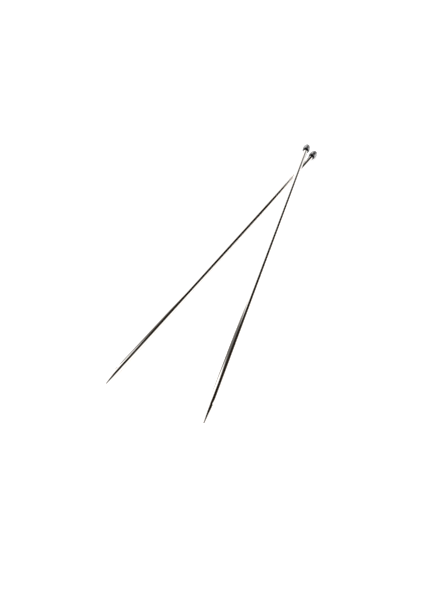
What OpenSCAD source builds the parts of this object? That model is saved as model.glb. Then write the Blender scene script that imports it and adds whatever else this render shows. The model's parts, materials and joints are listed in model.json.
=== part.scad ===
// A pair of straight knitting needles, crossed near their heads.
// Each needle is a metal tube with a pressed-in point, and a knob that a dark sleeve holds on it.
// The sleeve shows in front of the knob as a collar, and its closed end stands proud behind it.
// A needle is drawn upright, with its tip at the origin and its axis along +Z, and is then laid down.
// The lower needle rests on its knob and its shoulder. The upper one rests on its shoulder and
// on the lower needle, so its knob is in the air. Z = 0 is the table.

/* [Needle] */
// Length from the tip to the end of the knob
needle_length = 350; // [250:10:400]
// Outside diameter of the tube, which is the needle's gauge
shaft_d = 5; // [4.5:0.25:5.5]
// Wall of the tube
tube_wall = 0.5; // [0.3:0.1:0.8]

/* [Point] */
// Length of the tapered point
point_length = 13; // [10:1:24]
// Radius of the rounded tip
tip_r = 0.85; // [0.6:0.05:1.2]
// Length of the spigot that is pressed into the tube
spigot_length = 12; // [6:1:20]

/* [Knob] */
// Diameter of the knob at its fattest
knob_d = 8; // [7.8:0.1:9]
// Length of the knob, from its rim to the closed end of the sleeve
knob_length = 9; // [8:0.2:12]
// Radius of the crown along the knob
crown_r = 24; // [20:1:30]
// Rounding of the knob's far edge
far_round = 1.2; // [1:0.1:1.4]
// Rounding of the knob's rim
rim_round = 0.5; // [0.3:0.1:0.6]

/* [Sleeve] */
// Wall of the sleeve between the tube and the knob
sleeve_wall = 0.3; // [0.25:0.05:0.4]
// How far the sleeve shows in front of the knob, as a collar on the tube
collar_length = 3.2; // [2:0.2:5]
// How far the sleeve's closed end stands proud of the knob
sleeve_proud = 2.4; // [1:0.2:2.6]
// Thickness of the sleeve behind the end of the tube
sleeve_floor = 1.6; // [1.5:0.1:2.4]
// Rounding of the sleeve's closed end
sleeve_round = 0.5; // [0.3:0.1:0.6]

/* [Crossing] */
// Angle between the two needles
cross_angle = 13; // [13:0.5:30]
// Distance from the crossing to the far end of each knob
cross_from_end = 41.5; // [40:0.5:80]
// Clearance between the two tubes at the crossing
cross_gap = 0.15; // [0.1:0.05:0.3]

/* [Hidden] */
$fn = 72;
// Steps in each round stretch of an outline
ARC_STEPS = 10;

shaft_r = shaft_d / 2;
tube_bore_r = shaft_r - tube_wall;
knob_r = knob_d / 2;
sleeve_r = shaft_r + sleeve_wall;

// The point is an ogive: an arc that leaves the tube smoothly and ends on the ball of the tip
ogive_r = (pow(shaft_r, 2) - pow(tip_r, 2) + pow(point_length - tip_r, 2)) / (2 * (shaft_r - tip_r));
ogive_meets_tip = asin((point_length - tip_r) / (ogive_r - tip_r));

// The knob's crown is fattest here, measured from its rim
crown_z = 4;
shell_length = knob_length - sleeve_proud;
crown_centre_r = knob_r - crown_r;
// Where the crown ends, as angles at its centre
rim_angle = asin((crown_z - rim_round) / (crown_r - rim_round));
far_angle = asin((shell_length - far_round - crown_z) / (crown_r - far_round));
// How far the centres of the edges' roundings are from the axis
far_r = crown_centre_r + (crown_r - far_round) * cos(far_angle);
rim_r = crown_centre_r + (crown_r - rim_round) * cos(rim_angle);

// Stations along a needle, from its tip
cross_from_tip = needle_length - cross_from_end;
rim_z = needle_length - knob_length;
fattest_z = rim_z + crown_z;
collar_z = rim_z - collar_length;
sleeve_length = needle_length - collar_z;
tube_end_z = needle_length - sleeve_floor;

// How the two needles lie
half_angle = cross_angle / 2;
lower_slope = asin((knob_r - shaft_r) / (fattest_z - point_length));
lower_cross_z = shaft_r + (cross_from_tip - point_length) * sin(lower_slope);
upper_cross_z = lower_cross_z + shaft_d + cross_gap;
upper_slope = asin((upper_cross_z - shaft_r) / (cross_from_tip - point_length));
// The slope rolls the upper needle's foot a little way down its ogive, which lifts it by this much
upper_lift = (ogive_r - shaft_r) * (1 - cos(upper_slope));
// The crossing's place along Y puts the origin midway between the tips and the knobs' ends
tip_reach = (cross_from_tip - tip_r) * cos(half_angle) + tip_r;
knob_reach = (cross_from_end - sleeve_round) * cos(half_angle)
    + (sleeve_r - sleeve_round) * sin(half_angle) + sleeve_round;
cross_y = (tip_reach - knob_reach) / 2;

// Points along an arc in the half plane [radius, z]; 0 degrees points outwards and 90 along +Z
function arc(centre, r, from, to) =
    [for (i = [0:ARC_STEPS]) let (a = from + (to - from) * i / ARC_STEPS)
        centre + r * [cos(a), sin(a)]];

// The tube, open at both ends
module tube() {
    color("silver")
        translate([0, 0, point_length])
            difference() {
                cylinder(h = tube_end_z - point_length, r = shaft_r);
                translate([0, 0, -1])
                    cylinder(h = needle_length, r = tube_bore_r);
            }
}

// The solid point and its spigot, flush with the tube
module point() {
    color("gainsboro") {
        rotate_extrude()
            polygon(concat(
                [[0, 0]],
                arc([0, tip_r], tip_r, -80, -ogive_meets_tip),
                arc([shaft_r - ogive_r, point_length], ogive_r, -ogive_meets_tip, 0),
                [[0, point_length]]));
        translate([0, 0, point_length])
            cylinder(h = spigot_length, r = tube_bore_r);
    }
}

// The dark sleeve that grips the tube, closed behind the tube's end
module sleeve() {
    color("dimgray")
        difference() {
            translate([0, 0, collar_z])
                rotate_extrude()
                    polygon(concat(
                        [[0, 0], [sleeve_r, 0]],
                        arc([sleeve_r - sleeve_round, sleeve_length - sleeve_round], sleeve_round, 0, 90),
                        [[0, sleeve_length]]));
            translate([0, 0, collar_z - 1])
                cylinder(h = tube_end_z - collar_z + 1, r = shaft_r);
        }
}

// The crowned shell of the knob, open at both ends
module knob() {
    color("lightgray")
        difference() {
            translate([0, 0, rim_z])
                rotate_extrude()
                    polygon(concat(
                        [[0, 0]],
                        arc([rim_r, rim_round], rim_round, -90, -rim_angle),
                        arc([crown_centre_r, crown_z], crown_r, -rim_angle, far_angle),
                        arc([far_r, shell_length - far_round], far_round, far_angle, 90),
                        [[0, shell_length]]));
            translate([0, 0, rim_z - 1])
                cylinder(h = knob_length + 1, r = sleeve_r);
        }
}

// Lays an upright needle down over the crossing, at a height, a slope and a turn from +Y
module lay(height, slope, turn) {
    translate([0, cross_y, height])
        rotate([0, 0, -turn])
            rotate([slope - 90, 0, 0])
                translate([0, 0, -cross_from_tip])
                    children();
}

module lay_lower() {
    lay(lower_cross_z, lower_slope, half_angle) children();
}

module lay_upper() {
    lay(upper_cross_z + upper_lift, upper_slope, -half_angle) children();
}

lay_lower() tube();  // lower_shaft
lay_lower() point();  // lower_point
lay_lower() sleeve();  // lower_sleeve
lay_lower() knob();  // lower_knob
lay_upper() tube();  // upper_shaft
lay_upper() point();  // upper_point
lay_upper() sleeve();  // upper_sleeve
lay_upper() knob();  // upper_knob
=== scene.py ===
import json
import math

import bmesh
import bpy
from mathutils import Matrix, Vector


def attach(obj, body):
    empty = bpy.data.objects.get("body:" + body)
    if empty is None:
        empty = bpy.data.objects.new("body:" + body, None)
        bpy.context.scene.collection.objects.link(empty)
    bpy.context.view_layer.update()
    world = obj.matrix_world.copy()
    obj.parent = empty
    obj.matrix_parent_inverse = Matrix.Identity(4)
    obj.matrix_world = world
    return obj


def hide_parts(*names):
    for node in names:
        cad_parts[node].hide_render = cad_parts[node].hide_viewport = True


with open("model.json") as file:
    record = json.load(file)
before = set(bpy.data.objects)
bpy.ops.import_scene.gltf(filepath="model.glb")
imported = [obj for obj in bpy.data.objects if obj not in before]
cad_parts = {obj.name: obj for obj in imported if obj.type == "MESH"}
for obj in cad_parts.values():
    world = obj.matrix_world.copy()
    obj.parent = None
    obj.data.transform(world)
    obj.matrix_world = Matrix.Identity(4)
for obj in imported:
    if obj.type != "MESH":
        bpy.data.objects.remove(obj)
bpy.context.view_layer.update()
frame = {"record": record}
SCENE = bpy.context.scene
MM = 0.001

# ---------------------------------------------------------------- sizes of one needle, in millimetres

NEEDLE_LENGTH = 350.0
SHAFT_R = 2.5
BORE_R = 2.0
POINT_LENGTH = 13.0
TIP_R = 0.85
SPIGOT_LENGTH = 12.0
KNOB_R = 4.0
KNOB_LENGTH = 9.0
CROWN_R = 24.0
CROWN_Z = 4.0
FAR_ROUND = 1.2
RIM_ROUND = 0.5
SLEEVE_R = 2.8
COLLAR_LENGTH = 3.2
SLEEVE_PROUD = 2.4
SLEEVE_FLOOR = 1.6
SLEEVE_ROUND = 0.5

RIM_Z = NEEDLE_LENGTH - KNOB_LENGTH
COLLAR_Z = RIM_Z - COLLAR_LENGTH
SHELL_LENGTH = KNOB_LENGTH - SLEEVE_PROUD
TUBE_END = NEEDLE_LENGTH - SLEEVE_FLOOR

# ---------------------------------------------------------------- camera

CAMERA_AT = Vector((0.10243, -0.29831, 0.25309))
LOOK_AT = Vector((-0.00002, -0.06803, 0.0))
LENS_MM = 27.97
SENSOR_MM = 36.0
CLIP_NEAR = 0.005
CLIP_FAR = 50.0


def make_camera():
    data = bpy.data.cameras.new("camera")
    data.lens = LENS_MM
    data.sensor_width = SENSOR_MM
    data.clip_start = CLIP_NEAR
    data.clip_end = CLIP_FAR
    camera = bpy.data.objects.new("camera", data)
    SCENE.collection.objects.link(camera)
    camera.location = CAMERA_AT
    camera.rotation_euler = (LOOK_AT - CAMERA_AT).to_track_quat("-Z", "Y").to_euler()
    SCENE.camera = camera


make_camera()
SCENE.view_settings.view_transform = "Standard"
SCENE.view_settings.look = "None"

# ---------------------------------------------------------------- outlines and lathe work

# How far apart the points are along a straight stretch, in millimetres
TUBE_PITCH = 4.0
BORE_PITCH = 8.0
SPIGOT_PITCH = 2.0
HEAD_PITCH = 0.8
# Edges sharper than this, in degrees, stay crisp under smooth shading
SHARP_ANGLE = 35.0
# A point nearer to the axis than this is on it
AXIS_R = 1e-6


def arc(centre, radius, start, end, steps):
    """Points [r, z] along an arc; 0 degrees points outwards and 90 along +Z."""
    points = []
    for i in range(steps + 1):
        a = math.radians(start + (end - start) * i / steps)
        points.append((centre[0] + radius * math.cos(a), centre[1] + radius * math.sin(a)))
    return points


def run(start, end, pitch):
    """Points along a straight stretch, about pitch apart, without its first point."""
    span = math.hypot(end[0] - start[0], end[1] - start[1])
    steps = max(1, round(span / pitch))
    return [(start[0] + (end[0] - start[0]) * i / steps, start[1] + (end[1] - start[1]) * i / steps)
            for i in range(1, steps + 1)]


def lathe(name, outline, segments):
    """Turns a closed outline of (r, z) points in millimetres about Z into a smooth closed mesh."""
    bm = bmesh.new()
    rings = []
    for r, z in outline:
        if r < AXIS_R:
            rings.append([bm.verts.new((0.0, 0.0, z * MM))])
            continue
        rings.append([bm.verts.new((r * MM * math.cos(2 * math.pi * i / segments),
                                    r * MM * math.sin(2 * math.pi * i / segments), z * MM))
                      for i in range(segments)])
    pairs = list(zip(rings, rings[1:]))
    if len(rings[0]) > 1:
        pairs.append((rings[-1], rings[0]))
    for a, b in pairs:
        for i in range(segments):
            j = (i + 1) % segments
            if len(a) == 1:
                bm.faces.new((a[0], b[j], b[i]))
            elif len(b) == 1:
                bm.faces.new((a[i], a[j], b[0]))
            else:
                bm.faces.new((a[i], a[j], b[j], b[i]))
    bmesh.ops.recalc_face_normals(bm, faces=bm.faces[:])
    mesh = bpy.data.meshes.new(name)
    bm.to_mesh(mesh)
    bm.free()
    for polygon in mesh.polygons:
        polygon.use_smooth = True
    mesh.set_sharp_from_angle(angle=math.radians(SHARP_ANGLE))
    return mesh


def shaft_outline():
    """The tube, with a fine broken edge at the seam with the point and a chamfer inside the sleeve."""
    seam = 0.07
    seam_round = 0.02
    chamfer = 0.2
    outline = [(SHAFT_R - seam, POINT_LENGTH), (SHAFT_R - seam_round, POINT_LENGTH + seam_round)]
    outline += [(SHAFT_R, POINT_LENGTH + seam)]
    outline += run(outline[-1], (SHAFT_R, TUBE_END - chamfer), TUBE_PITCH)
    outline += [(SHAFT_R - chamfer, TUBE_END), (BORE_R, TUBE_END)]
    outline += run(outline[-1], (BORE_R, POINT_LENGTH), BORE_PITCH)
    return outline


def point_outline():
    """The ball of the tip, the ogive, the seam and the spigot inside the tube."""
    spigot_end = POINT_LENGTH + SPIGOT_LENGTH
    chamfer = 0.4
    seam = 0.05
    seam_drop = 0.003
    ogive_r = (SHAFT_R ** 2 - TIP_R ** 2 + (POINT_LENGTH - TIP_R) ** 2) / (2 * (SHAFT_R - TIP_R))
    meet = math.degrees(math.asin((POINT_LENGTH - TIP_R) / (ogive_r - TIP_R)))
    outline = arc((0.0, TIP_R), TIP_R, -90.0, -meet, 20)
    outline[0] = (0.0, 0.0)
    outline += arc((SHAFT_R - ogive_r, POINT_LENGTH), ogive_r, -meet, 0.0, 48)[1:-1]
    outline += [(SHAFT_R - seam_drop, POINT_LENGTH - seam), (SHAFT_R - seam, POINT_LENGTH)]
    outline += [(BORE_R, POINT_LENGTH)]
    outline += run(outline[-1], (BORE_R, spigot_end - chamfer), SPIGOT_PITCH)
    outline += [(BORE_R - chamfer, spigot_end), (0.0, spigot_end)]
    return outline


def sleeve_outline():
    """The closed end, the outside, the rounded lip in front of the knob and the bore for the tube."""
    lip_round = 0.1
    front = arc((SLEEVE_R - lip_round, COLLAR_Z + lip_round), lip_round, 0.0, -90.0, 6)
    lip = arc((SHAFT_R + lip_round, COLLAR_Z + lip_round), lip_round, -90.0, -180.0, 6)
    # The moulding gate leaves a shallow dimple, 0.1 mm deep, in the middle of the closed end
    outline = [(0.0, NEEDLE_LENGTH - 0.1), (0.25, NEEDLE_LENGTH - 0.07), (0.45, NEEDLE_LENGTH - 0.02)]
    outline += [(0.55, NEEDLE_LENGTH)]
    outline += arc((SLEEVE_R - SLEEVE_ROUND, NEEDLE_LENGTH - SLEEVE_ROUND), SLEEVE_ROUND, 90.0, 0.0, 12)
    outline += run(outline[-1], front[0], HEAD_PITCH)
    outline += front[1:] + lip[1:]
    outline += run(outline[-1], (SHAFT_R, TUBE_END), HEAD_PITCH)
    return outline + [(0.0, TUBE_END)]


def knob_outline():
    """The crowned shell, with fine lips where its bore meets the rim and the far edge."""
    lip = 0.08
    lip_step = 0.3
    far_lip = 0.12
    crown_centre = KNOB_R - CROWN_R
    rim_angle = math.degrees(math.asin((CROWN_Z - RIM_ROUND) / (CROWN_R - RIM_ROUND)))
    far_angle = math.degrees(math.asin((SHELL_LENGTH - FAR_ROUND - CROWN_Z) / (CROWN_R - FAR_ROUND)))
    rim_r = crown_centre + (CROWN_R - RIM_ROUND) * math.cos(math.radians(rim_angle))
    far_r = crown_centre + (CROWN_R - FAR_ROUND) * math.cos(math.radians(far_angle))
    # The far edge's rounding stops a little outside the sleeve
    stop_angle = math.degrees(math.acos((SLEEVE_R + lip - far_r) / FAR_ROUND))
    outline = [(SLEEVE_R, RIM_Z + lip), (SLEEVE_R + lip * lip_step, RIM_Z + lip * lip_step)]
    outline += [(SLEEVE_R + lip, RIM_Z)]
    outline += arc((rim_r, RIM_Z + RIM_ROUND), RIM_ROUND, -90.0, -rim_angle, 14)
    outline += arc((crown_centre, RIM_Z + CROWN_Z), CROWN_R, -rim_angle, far_angle, 28)[1:]
    outline += arc((far_r, RIM_Z + SHELL_LENGTH - FAR_ROUND), FAR_ROUND, far_angle, stop_angle, 24)[1:]
    outline += [(SLEEVE_R, RIM_Z + SHELL_LENGTH - far_lip)]
    outline += run(outline[-1], outline[0], HEAD_PITCH)[:-1]
    return outline


# ---------------------------------------------------------------- where each needle lies

MOUNTS = {mount["name"]: mount for mount in frame["record"]["mounts"]}


def needle_matrix(which):
    """The needle's own frame, with its tip at the origin and +Z towards the knob, in the row frame."""
    mount = MOUNTS[which + "_knob_end"]
    along = Vector(mount["axis"]).normalized()
    tip = Vector(mount["pos_m"]) - along * NEEDLE_LENGTH * MM
    side = along.cross(Vector((0.0, 0.0, 1.0))).normalized()
    up = side.cross(along)
    basis = Matrix((side, -up, along)).transposed().to_4x4()
    return Matrix.Translation(tip) @ basis


# ---------------------------------------------------------------- materials


class Nodes:
    """A short way to write a node tree."""

    def __init__(self, owner):
        owner.use_nodes = True
        self.tree = owner.node_tree

    def link(self, value, socket):
        if isinstance(value, bpy.types.NodeSocket):
            self.tree.links.new(value, socket)
        else:
            socket.default_value = value

    def add(self, kind, inputs=None, **settings):
        node = self.tree.nodes.new(kind)
        for key, value in settings.items():
            setattr(node, key, value)
        for key, value in (inputs or {}).items():
            self.link(value, node.inputs[key])
        return node

    def ramp(self, value, low, high, out_low, out_high, **settings):
        """Goes from out_low to out_high as the value goes from low to high, and stays there."""
        inputs = {"Value": value, "From Min": low, "From Max": high, "To Min": out_low, "To Max": out_high}
        return self.add("ShaderNodeMapRange", inputs, **settings).outputs["Result"]

    def mix(self, factor, a, b):
        return self.add("ShaderNodeMix", {0: factor, 6: a, 7: b}, data_type="RGBA").outputs[2]

    def math(self, operation, a, b=0.0):
        return self.add("ShaderNodeMath", {0: a, 1: b}, operation=operation).outputs[0]


# Moves each needle's textures by its place, so that no two needles have the same marks
SHIFT_PER_METRE = 1000.0


class Finish(Nodes):
    """The node tree of a material on one needle, with textures that run along that needle."""

    def __init__(self, name, place):
        self.material = bpy.data.materials.new(name)
        super().__init__(self.material)
        self.shader = self.tree.nodes["Principled BSDF"]
        self.place = place

    def noise(self, scale, detail=3.0, rough=0.5):
        """Noise in the needle's own frame, with scale in cells per metre across, across and along it."""
        here = self.add("ShaderNodeTexCoord").outputs["Object"]
        own = self.add("ShaderNodeMapping", {"Vector": here, "Location": self.place.translation,
                                             "Rotation": self.place.to_euler()}, vector_type="TEXTURE")
        scaled = self.add("ShaderNodeMapping", {"Vector": own.outputs["Vector"], "Scale": scale,
                                                "Location": self.place.translation * SHIFT_PER_METRE})
        return self.add("ShaderNodeTexNoise", {"Vector": scaled.outputs["Vector"], "Scale": 1.0,
                                               "Detail": detail, "Roughness": rough}).outputs["Fac"]

    def bump(self, height, strength, distance):
        return self.add("ShaderNodeBump", {"Height": height, "Strength": strength,
                                           "Distance": distance}).outputs["Normal"]

    def plug(self, **links):
        for key, value in links.items():
            self.link(value, self.shader.inputs[key.replace("_", " ")])
        return self.material


def nickel(name, place, rough_low, rough_high):
    """Polished nickel plating, with faint haze and fine hairlines along the needle."""
    n = Finish(name, place)
    haze = n.noise((60.0, 60.0, 25.0), 4.0, 0.6)
    hairline = n.noise((9000.0, 9000.0, 220.0), 2.0, 0.5)
    hairs = n.ramp(hairline, 0.60, 0.74, 0.0, 1.0)
    hair_rough = n.math("MULTIPLY", hairs, 0.04)
    rough = n.math("ADD", n.ramp(haze, 0.3, 0.7, rough_low, rough_high), hair_rough)
    colour = n.mix(haze, (0.87, 0.845, 0.815, 1.0), (0.83, 0.80, 0.775, 1.0))
    return n.plug(Base_Color=colour, Metallic=1.0, Roughness=rough, Normal=n.bump(hairline, 0.02, 0.00002))


def shaft_nickel(name, place):
    return nickel(name, place, 0.02, 0.05)


def point_nickel(name, place):
    return nickel(name, place, 0.03, 0.07)


def turned_metal(name, place):
    """Satin aluminium with the fine rings that the lathe leaves."""
    n = Finish(name, place)
    rings = n.noise((30.0, 30.0, 9000.0), 3.0, 0.6)
    haze = n.noise((400.0, 400.0, 400.0), 3.0, 0.5)
    rough = n.math("ADD", n.ramp(rings, 0.3, 0.7, 0.30, 0.40), n.ramp(haze, 0.3, 0.7, -0.03, 0.04))
    colour = n.mix(haze, (0.47, 0.47, 0.47, 1.0), (0.42, 0.42, 0.425, 1.0))
    return n.plug(Base_Color=colour, Metallic=1.0, Roughness=rough, Normal=n.bump(rings, 0.1, 0.00003))


def black_nylon(name, place):
    """Matt black nylon with a fine moulded grain."""
    n = Finish(name, place)
    grain = n.noise((6000.0, 6000.0, 6000.0), 3.0, 0.6)
    haze = n.noise((700.0, 700.0, 700.0), 2.0, 0.5)
    colour = n.mix(haze, (0.006, 0.006, 0.007, 1.0), (0.012, 0.012, 0.013, 1.0))
    rough = n.ramp(grain, 0.3, 0.7, 0.50, 0.70)
    normal = n.bump(grain, 0.25, 0.00004)
    return n.plug(Base_Color=colour, Roughness=rough, Specular_IOR_Level=0.05, Normal=normal)


# ---------------------------------------------------------------- the two needles

# Each part's outline, segments around, finish and material slot
PIECES = {
    "shaft": (shaft_outline, 96, shaft_nickel, "shaft_metal"),
    "point": (point_outline, 96, point_nickel, "point_metal"),
    "sleeve": (sleeve_outline, 96, black_nylon, "sleeve_nylon"),
    "knob": (knob_outline, 128, turned_metal, "knob_metal"),
}


def make_needle(which):
    place = needle_matrix(which)
    for part, (outline, segments, finish, slot) in PIECES.items():
        node = which + "_" + part
        mesh = lathe(node + "_turned", outline(), segments)
        mesh.transform(place)
        mesh.materials.append(finish(node + "_finish", place))
        piece = bpy.data.objects.new(node + "_turned", mesh)
        SCENE.collection.objects.link(piece)
        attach(piece, which + "_needle")
        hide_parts(node)


make_needle("lower")
make_needle("upper")

# ---------------------------------------------------------------- floor and light

FLOOR_SIZE = 12.0
# The floor glows a little, so that it comes out as white as the walls
FLOOR_GLOW = 0.75
STUDIO_STRENGTH = 1.35

WHITE = (1.0, 1.0, 1.0, 1.0)
NEAR_WALL = (0.3, 0.3, 0.31, 1.0)
GAP = (0.016, 0.011, 0.007, 1.0)


def make_floor():
    material = bpy.data.materials.new("floor_white")
    material.use_nodes = True
    shader = material.node_tree.nodes["Principled BSDF"]
    shader.inputs["Base Color"].default_value = (0.9, 0.9, 0.9, 1.0)
    shader.inputs["Roughness"].default_value = 0.9
    shader.inputs["Specular IOR Level"].default_value = 0.1
    shader.inputs["Emission Color"].default_value = WHITE
    shader.inputs["Emission Strength"].default_value = FLOOR_GLOW
    bm = bmesh.new()
    half = FLOOR_SIZE / 2
    corners = ((-half, -half), (half, -half), (half, half), (-half, half))
    bm.faces.new([bm.verts.new((x, y, 0.0)) for x, y in corners])
    mesh = bpy.data.meshes.new("floor")
    bm.to_mesh(mesh)
    bm.free()
    mesh.materials.append(material)
    floor = bpy.data.objects.new("floor", mesh)
    SCENE.collection.objects.link(floor)


class Studio(Nodes):
    """Directions in the studio, in degrees.

    along is the angle from +Y, and around turns about +Y from straight up towards +X.
    azimuth turns from +Y towards +X, and elevation rises from the horizon.
    """

    def __init__(self, world):
        super().__init__(world)
        way = self.add("ShaderNodeTexCoord").outputs["Generated"]
        x, y, z = self.add("ShaderNodeSeparateXYZ", {0: way}).outputs
        self.along = self.degrees("ARCCOSINE", y)
        self.around = self.degrees("ARCTAN2", x, z)
        self.azimuth = self.degrees("ARCTAN2", x, y)
        self.elevation = self.degrees("ARCSINE", z)

    def degrees(self, operation, a, b=0.0):
        return self.math("MULTIPLY", self.math(operation, a, b), 180.0 / math.pi)

    def offset(self, value, centre, half):
        """How far a value is from a centre, as a share of a half width."""
        return self.math("DIVIDE", self.math("SUBTRACT", value, centre), half)

    def soft(self, share, edge):
        """1 below a share of 1 and 0 above it, with a soft edge."""
        return self.ramp(share, 1.0 - edge, 1.0 + edge, 1.0, 0.0, interpolation_type="SMOOTHSTEP")

    def band(self, value, centre, half, edge):
        """1 within a half width of a centre, with soft edges."""
        return self.soft(self.math("ABSOLUTE", self.offset(value, centre, half)), edge)

    def oval(self, azimuth, elevation, half_wide, half_high, edge):
        """1 inside an oval on the walls, with a soft edge."""
        a = self.offset(self.azimuth, azimuth, half_wide)
        e = self.offset(self.elevation, elevation, half_high)
        square = self.math("ADD", self.math("MULTIPLY", a, a), self.math("MULTIPLY", e, e))
        return self.soft(self.math("SQRT", square), edge)


def make_world():
    """White walls, grey at the near end, with three dark gaps: a slot overhead, an arch and a doorway.

    The metal mirrors them, but the camera sees plain white. All angles are in degrees.
    """
    world = bpy.data.worlds.new("studio")
    SCENE.world = world
    n = Studio(world)
    # The slot runs overhead along the needles, and fades out beyond their heads
    slot_centre = n.ramp(n.along, 52.0, 75.0, 30.0, 17.0)
    slot_half = n.ramp(n.along, 54.0, 75.0, 42.0, 32.0)
    slot = n.band(n.around, slot_centre, slot_half, 0.12)
    slot = n.math("MULTIPLY", slot, n.ramp(n.along, 22.0, 29.0, 0.2, 1.0))
    # The arch is a thin ring round the needles, from just past the top down the left side
    arch = n.band(n.along, n.ramp(n.around, -90.0, -45.0, 64.0, 57.5), 3.8, 0.3)
    arch_side = n.math("MULTIPLY", n.band(n.around, -50.0, 60.0, 0.2), 0.88)
    arch = n.math("MULTIPLY", arch, arch_side)
    doorway = n.oval(-15.0, 0.0, 25.0, 11.0, 0.2)
    dark = n.math("MAXIMUM", n.math("MAXIMUM", slot, arch), doorway)
    walls = n.mix(n.ramp(n.along, 105.0, 130.0, 0.0, 1.0), WHITE, NEAR_WALL)
    colour = n.mix(dark, walls, GAP)
    seen = n.add("ShaderNodeLightPath").outputs["Is Camera Ray"]
    background = n.tree.nodes["Background"]
    n.link(n.mix(seen, colour, WHITE), background.inputs["Color"])
    background.inputs["Strength"].default_value = STUDIO_STRENGTH


make_floor()
make_world()
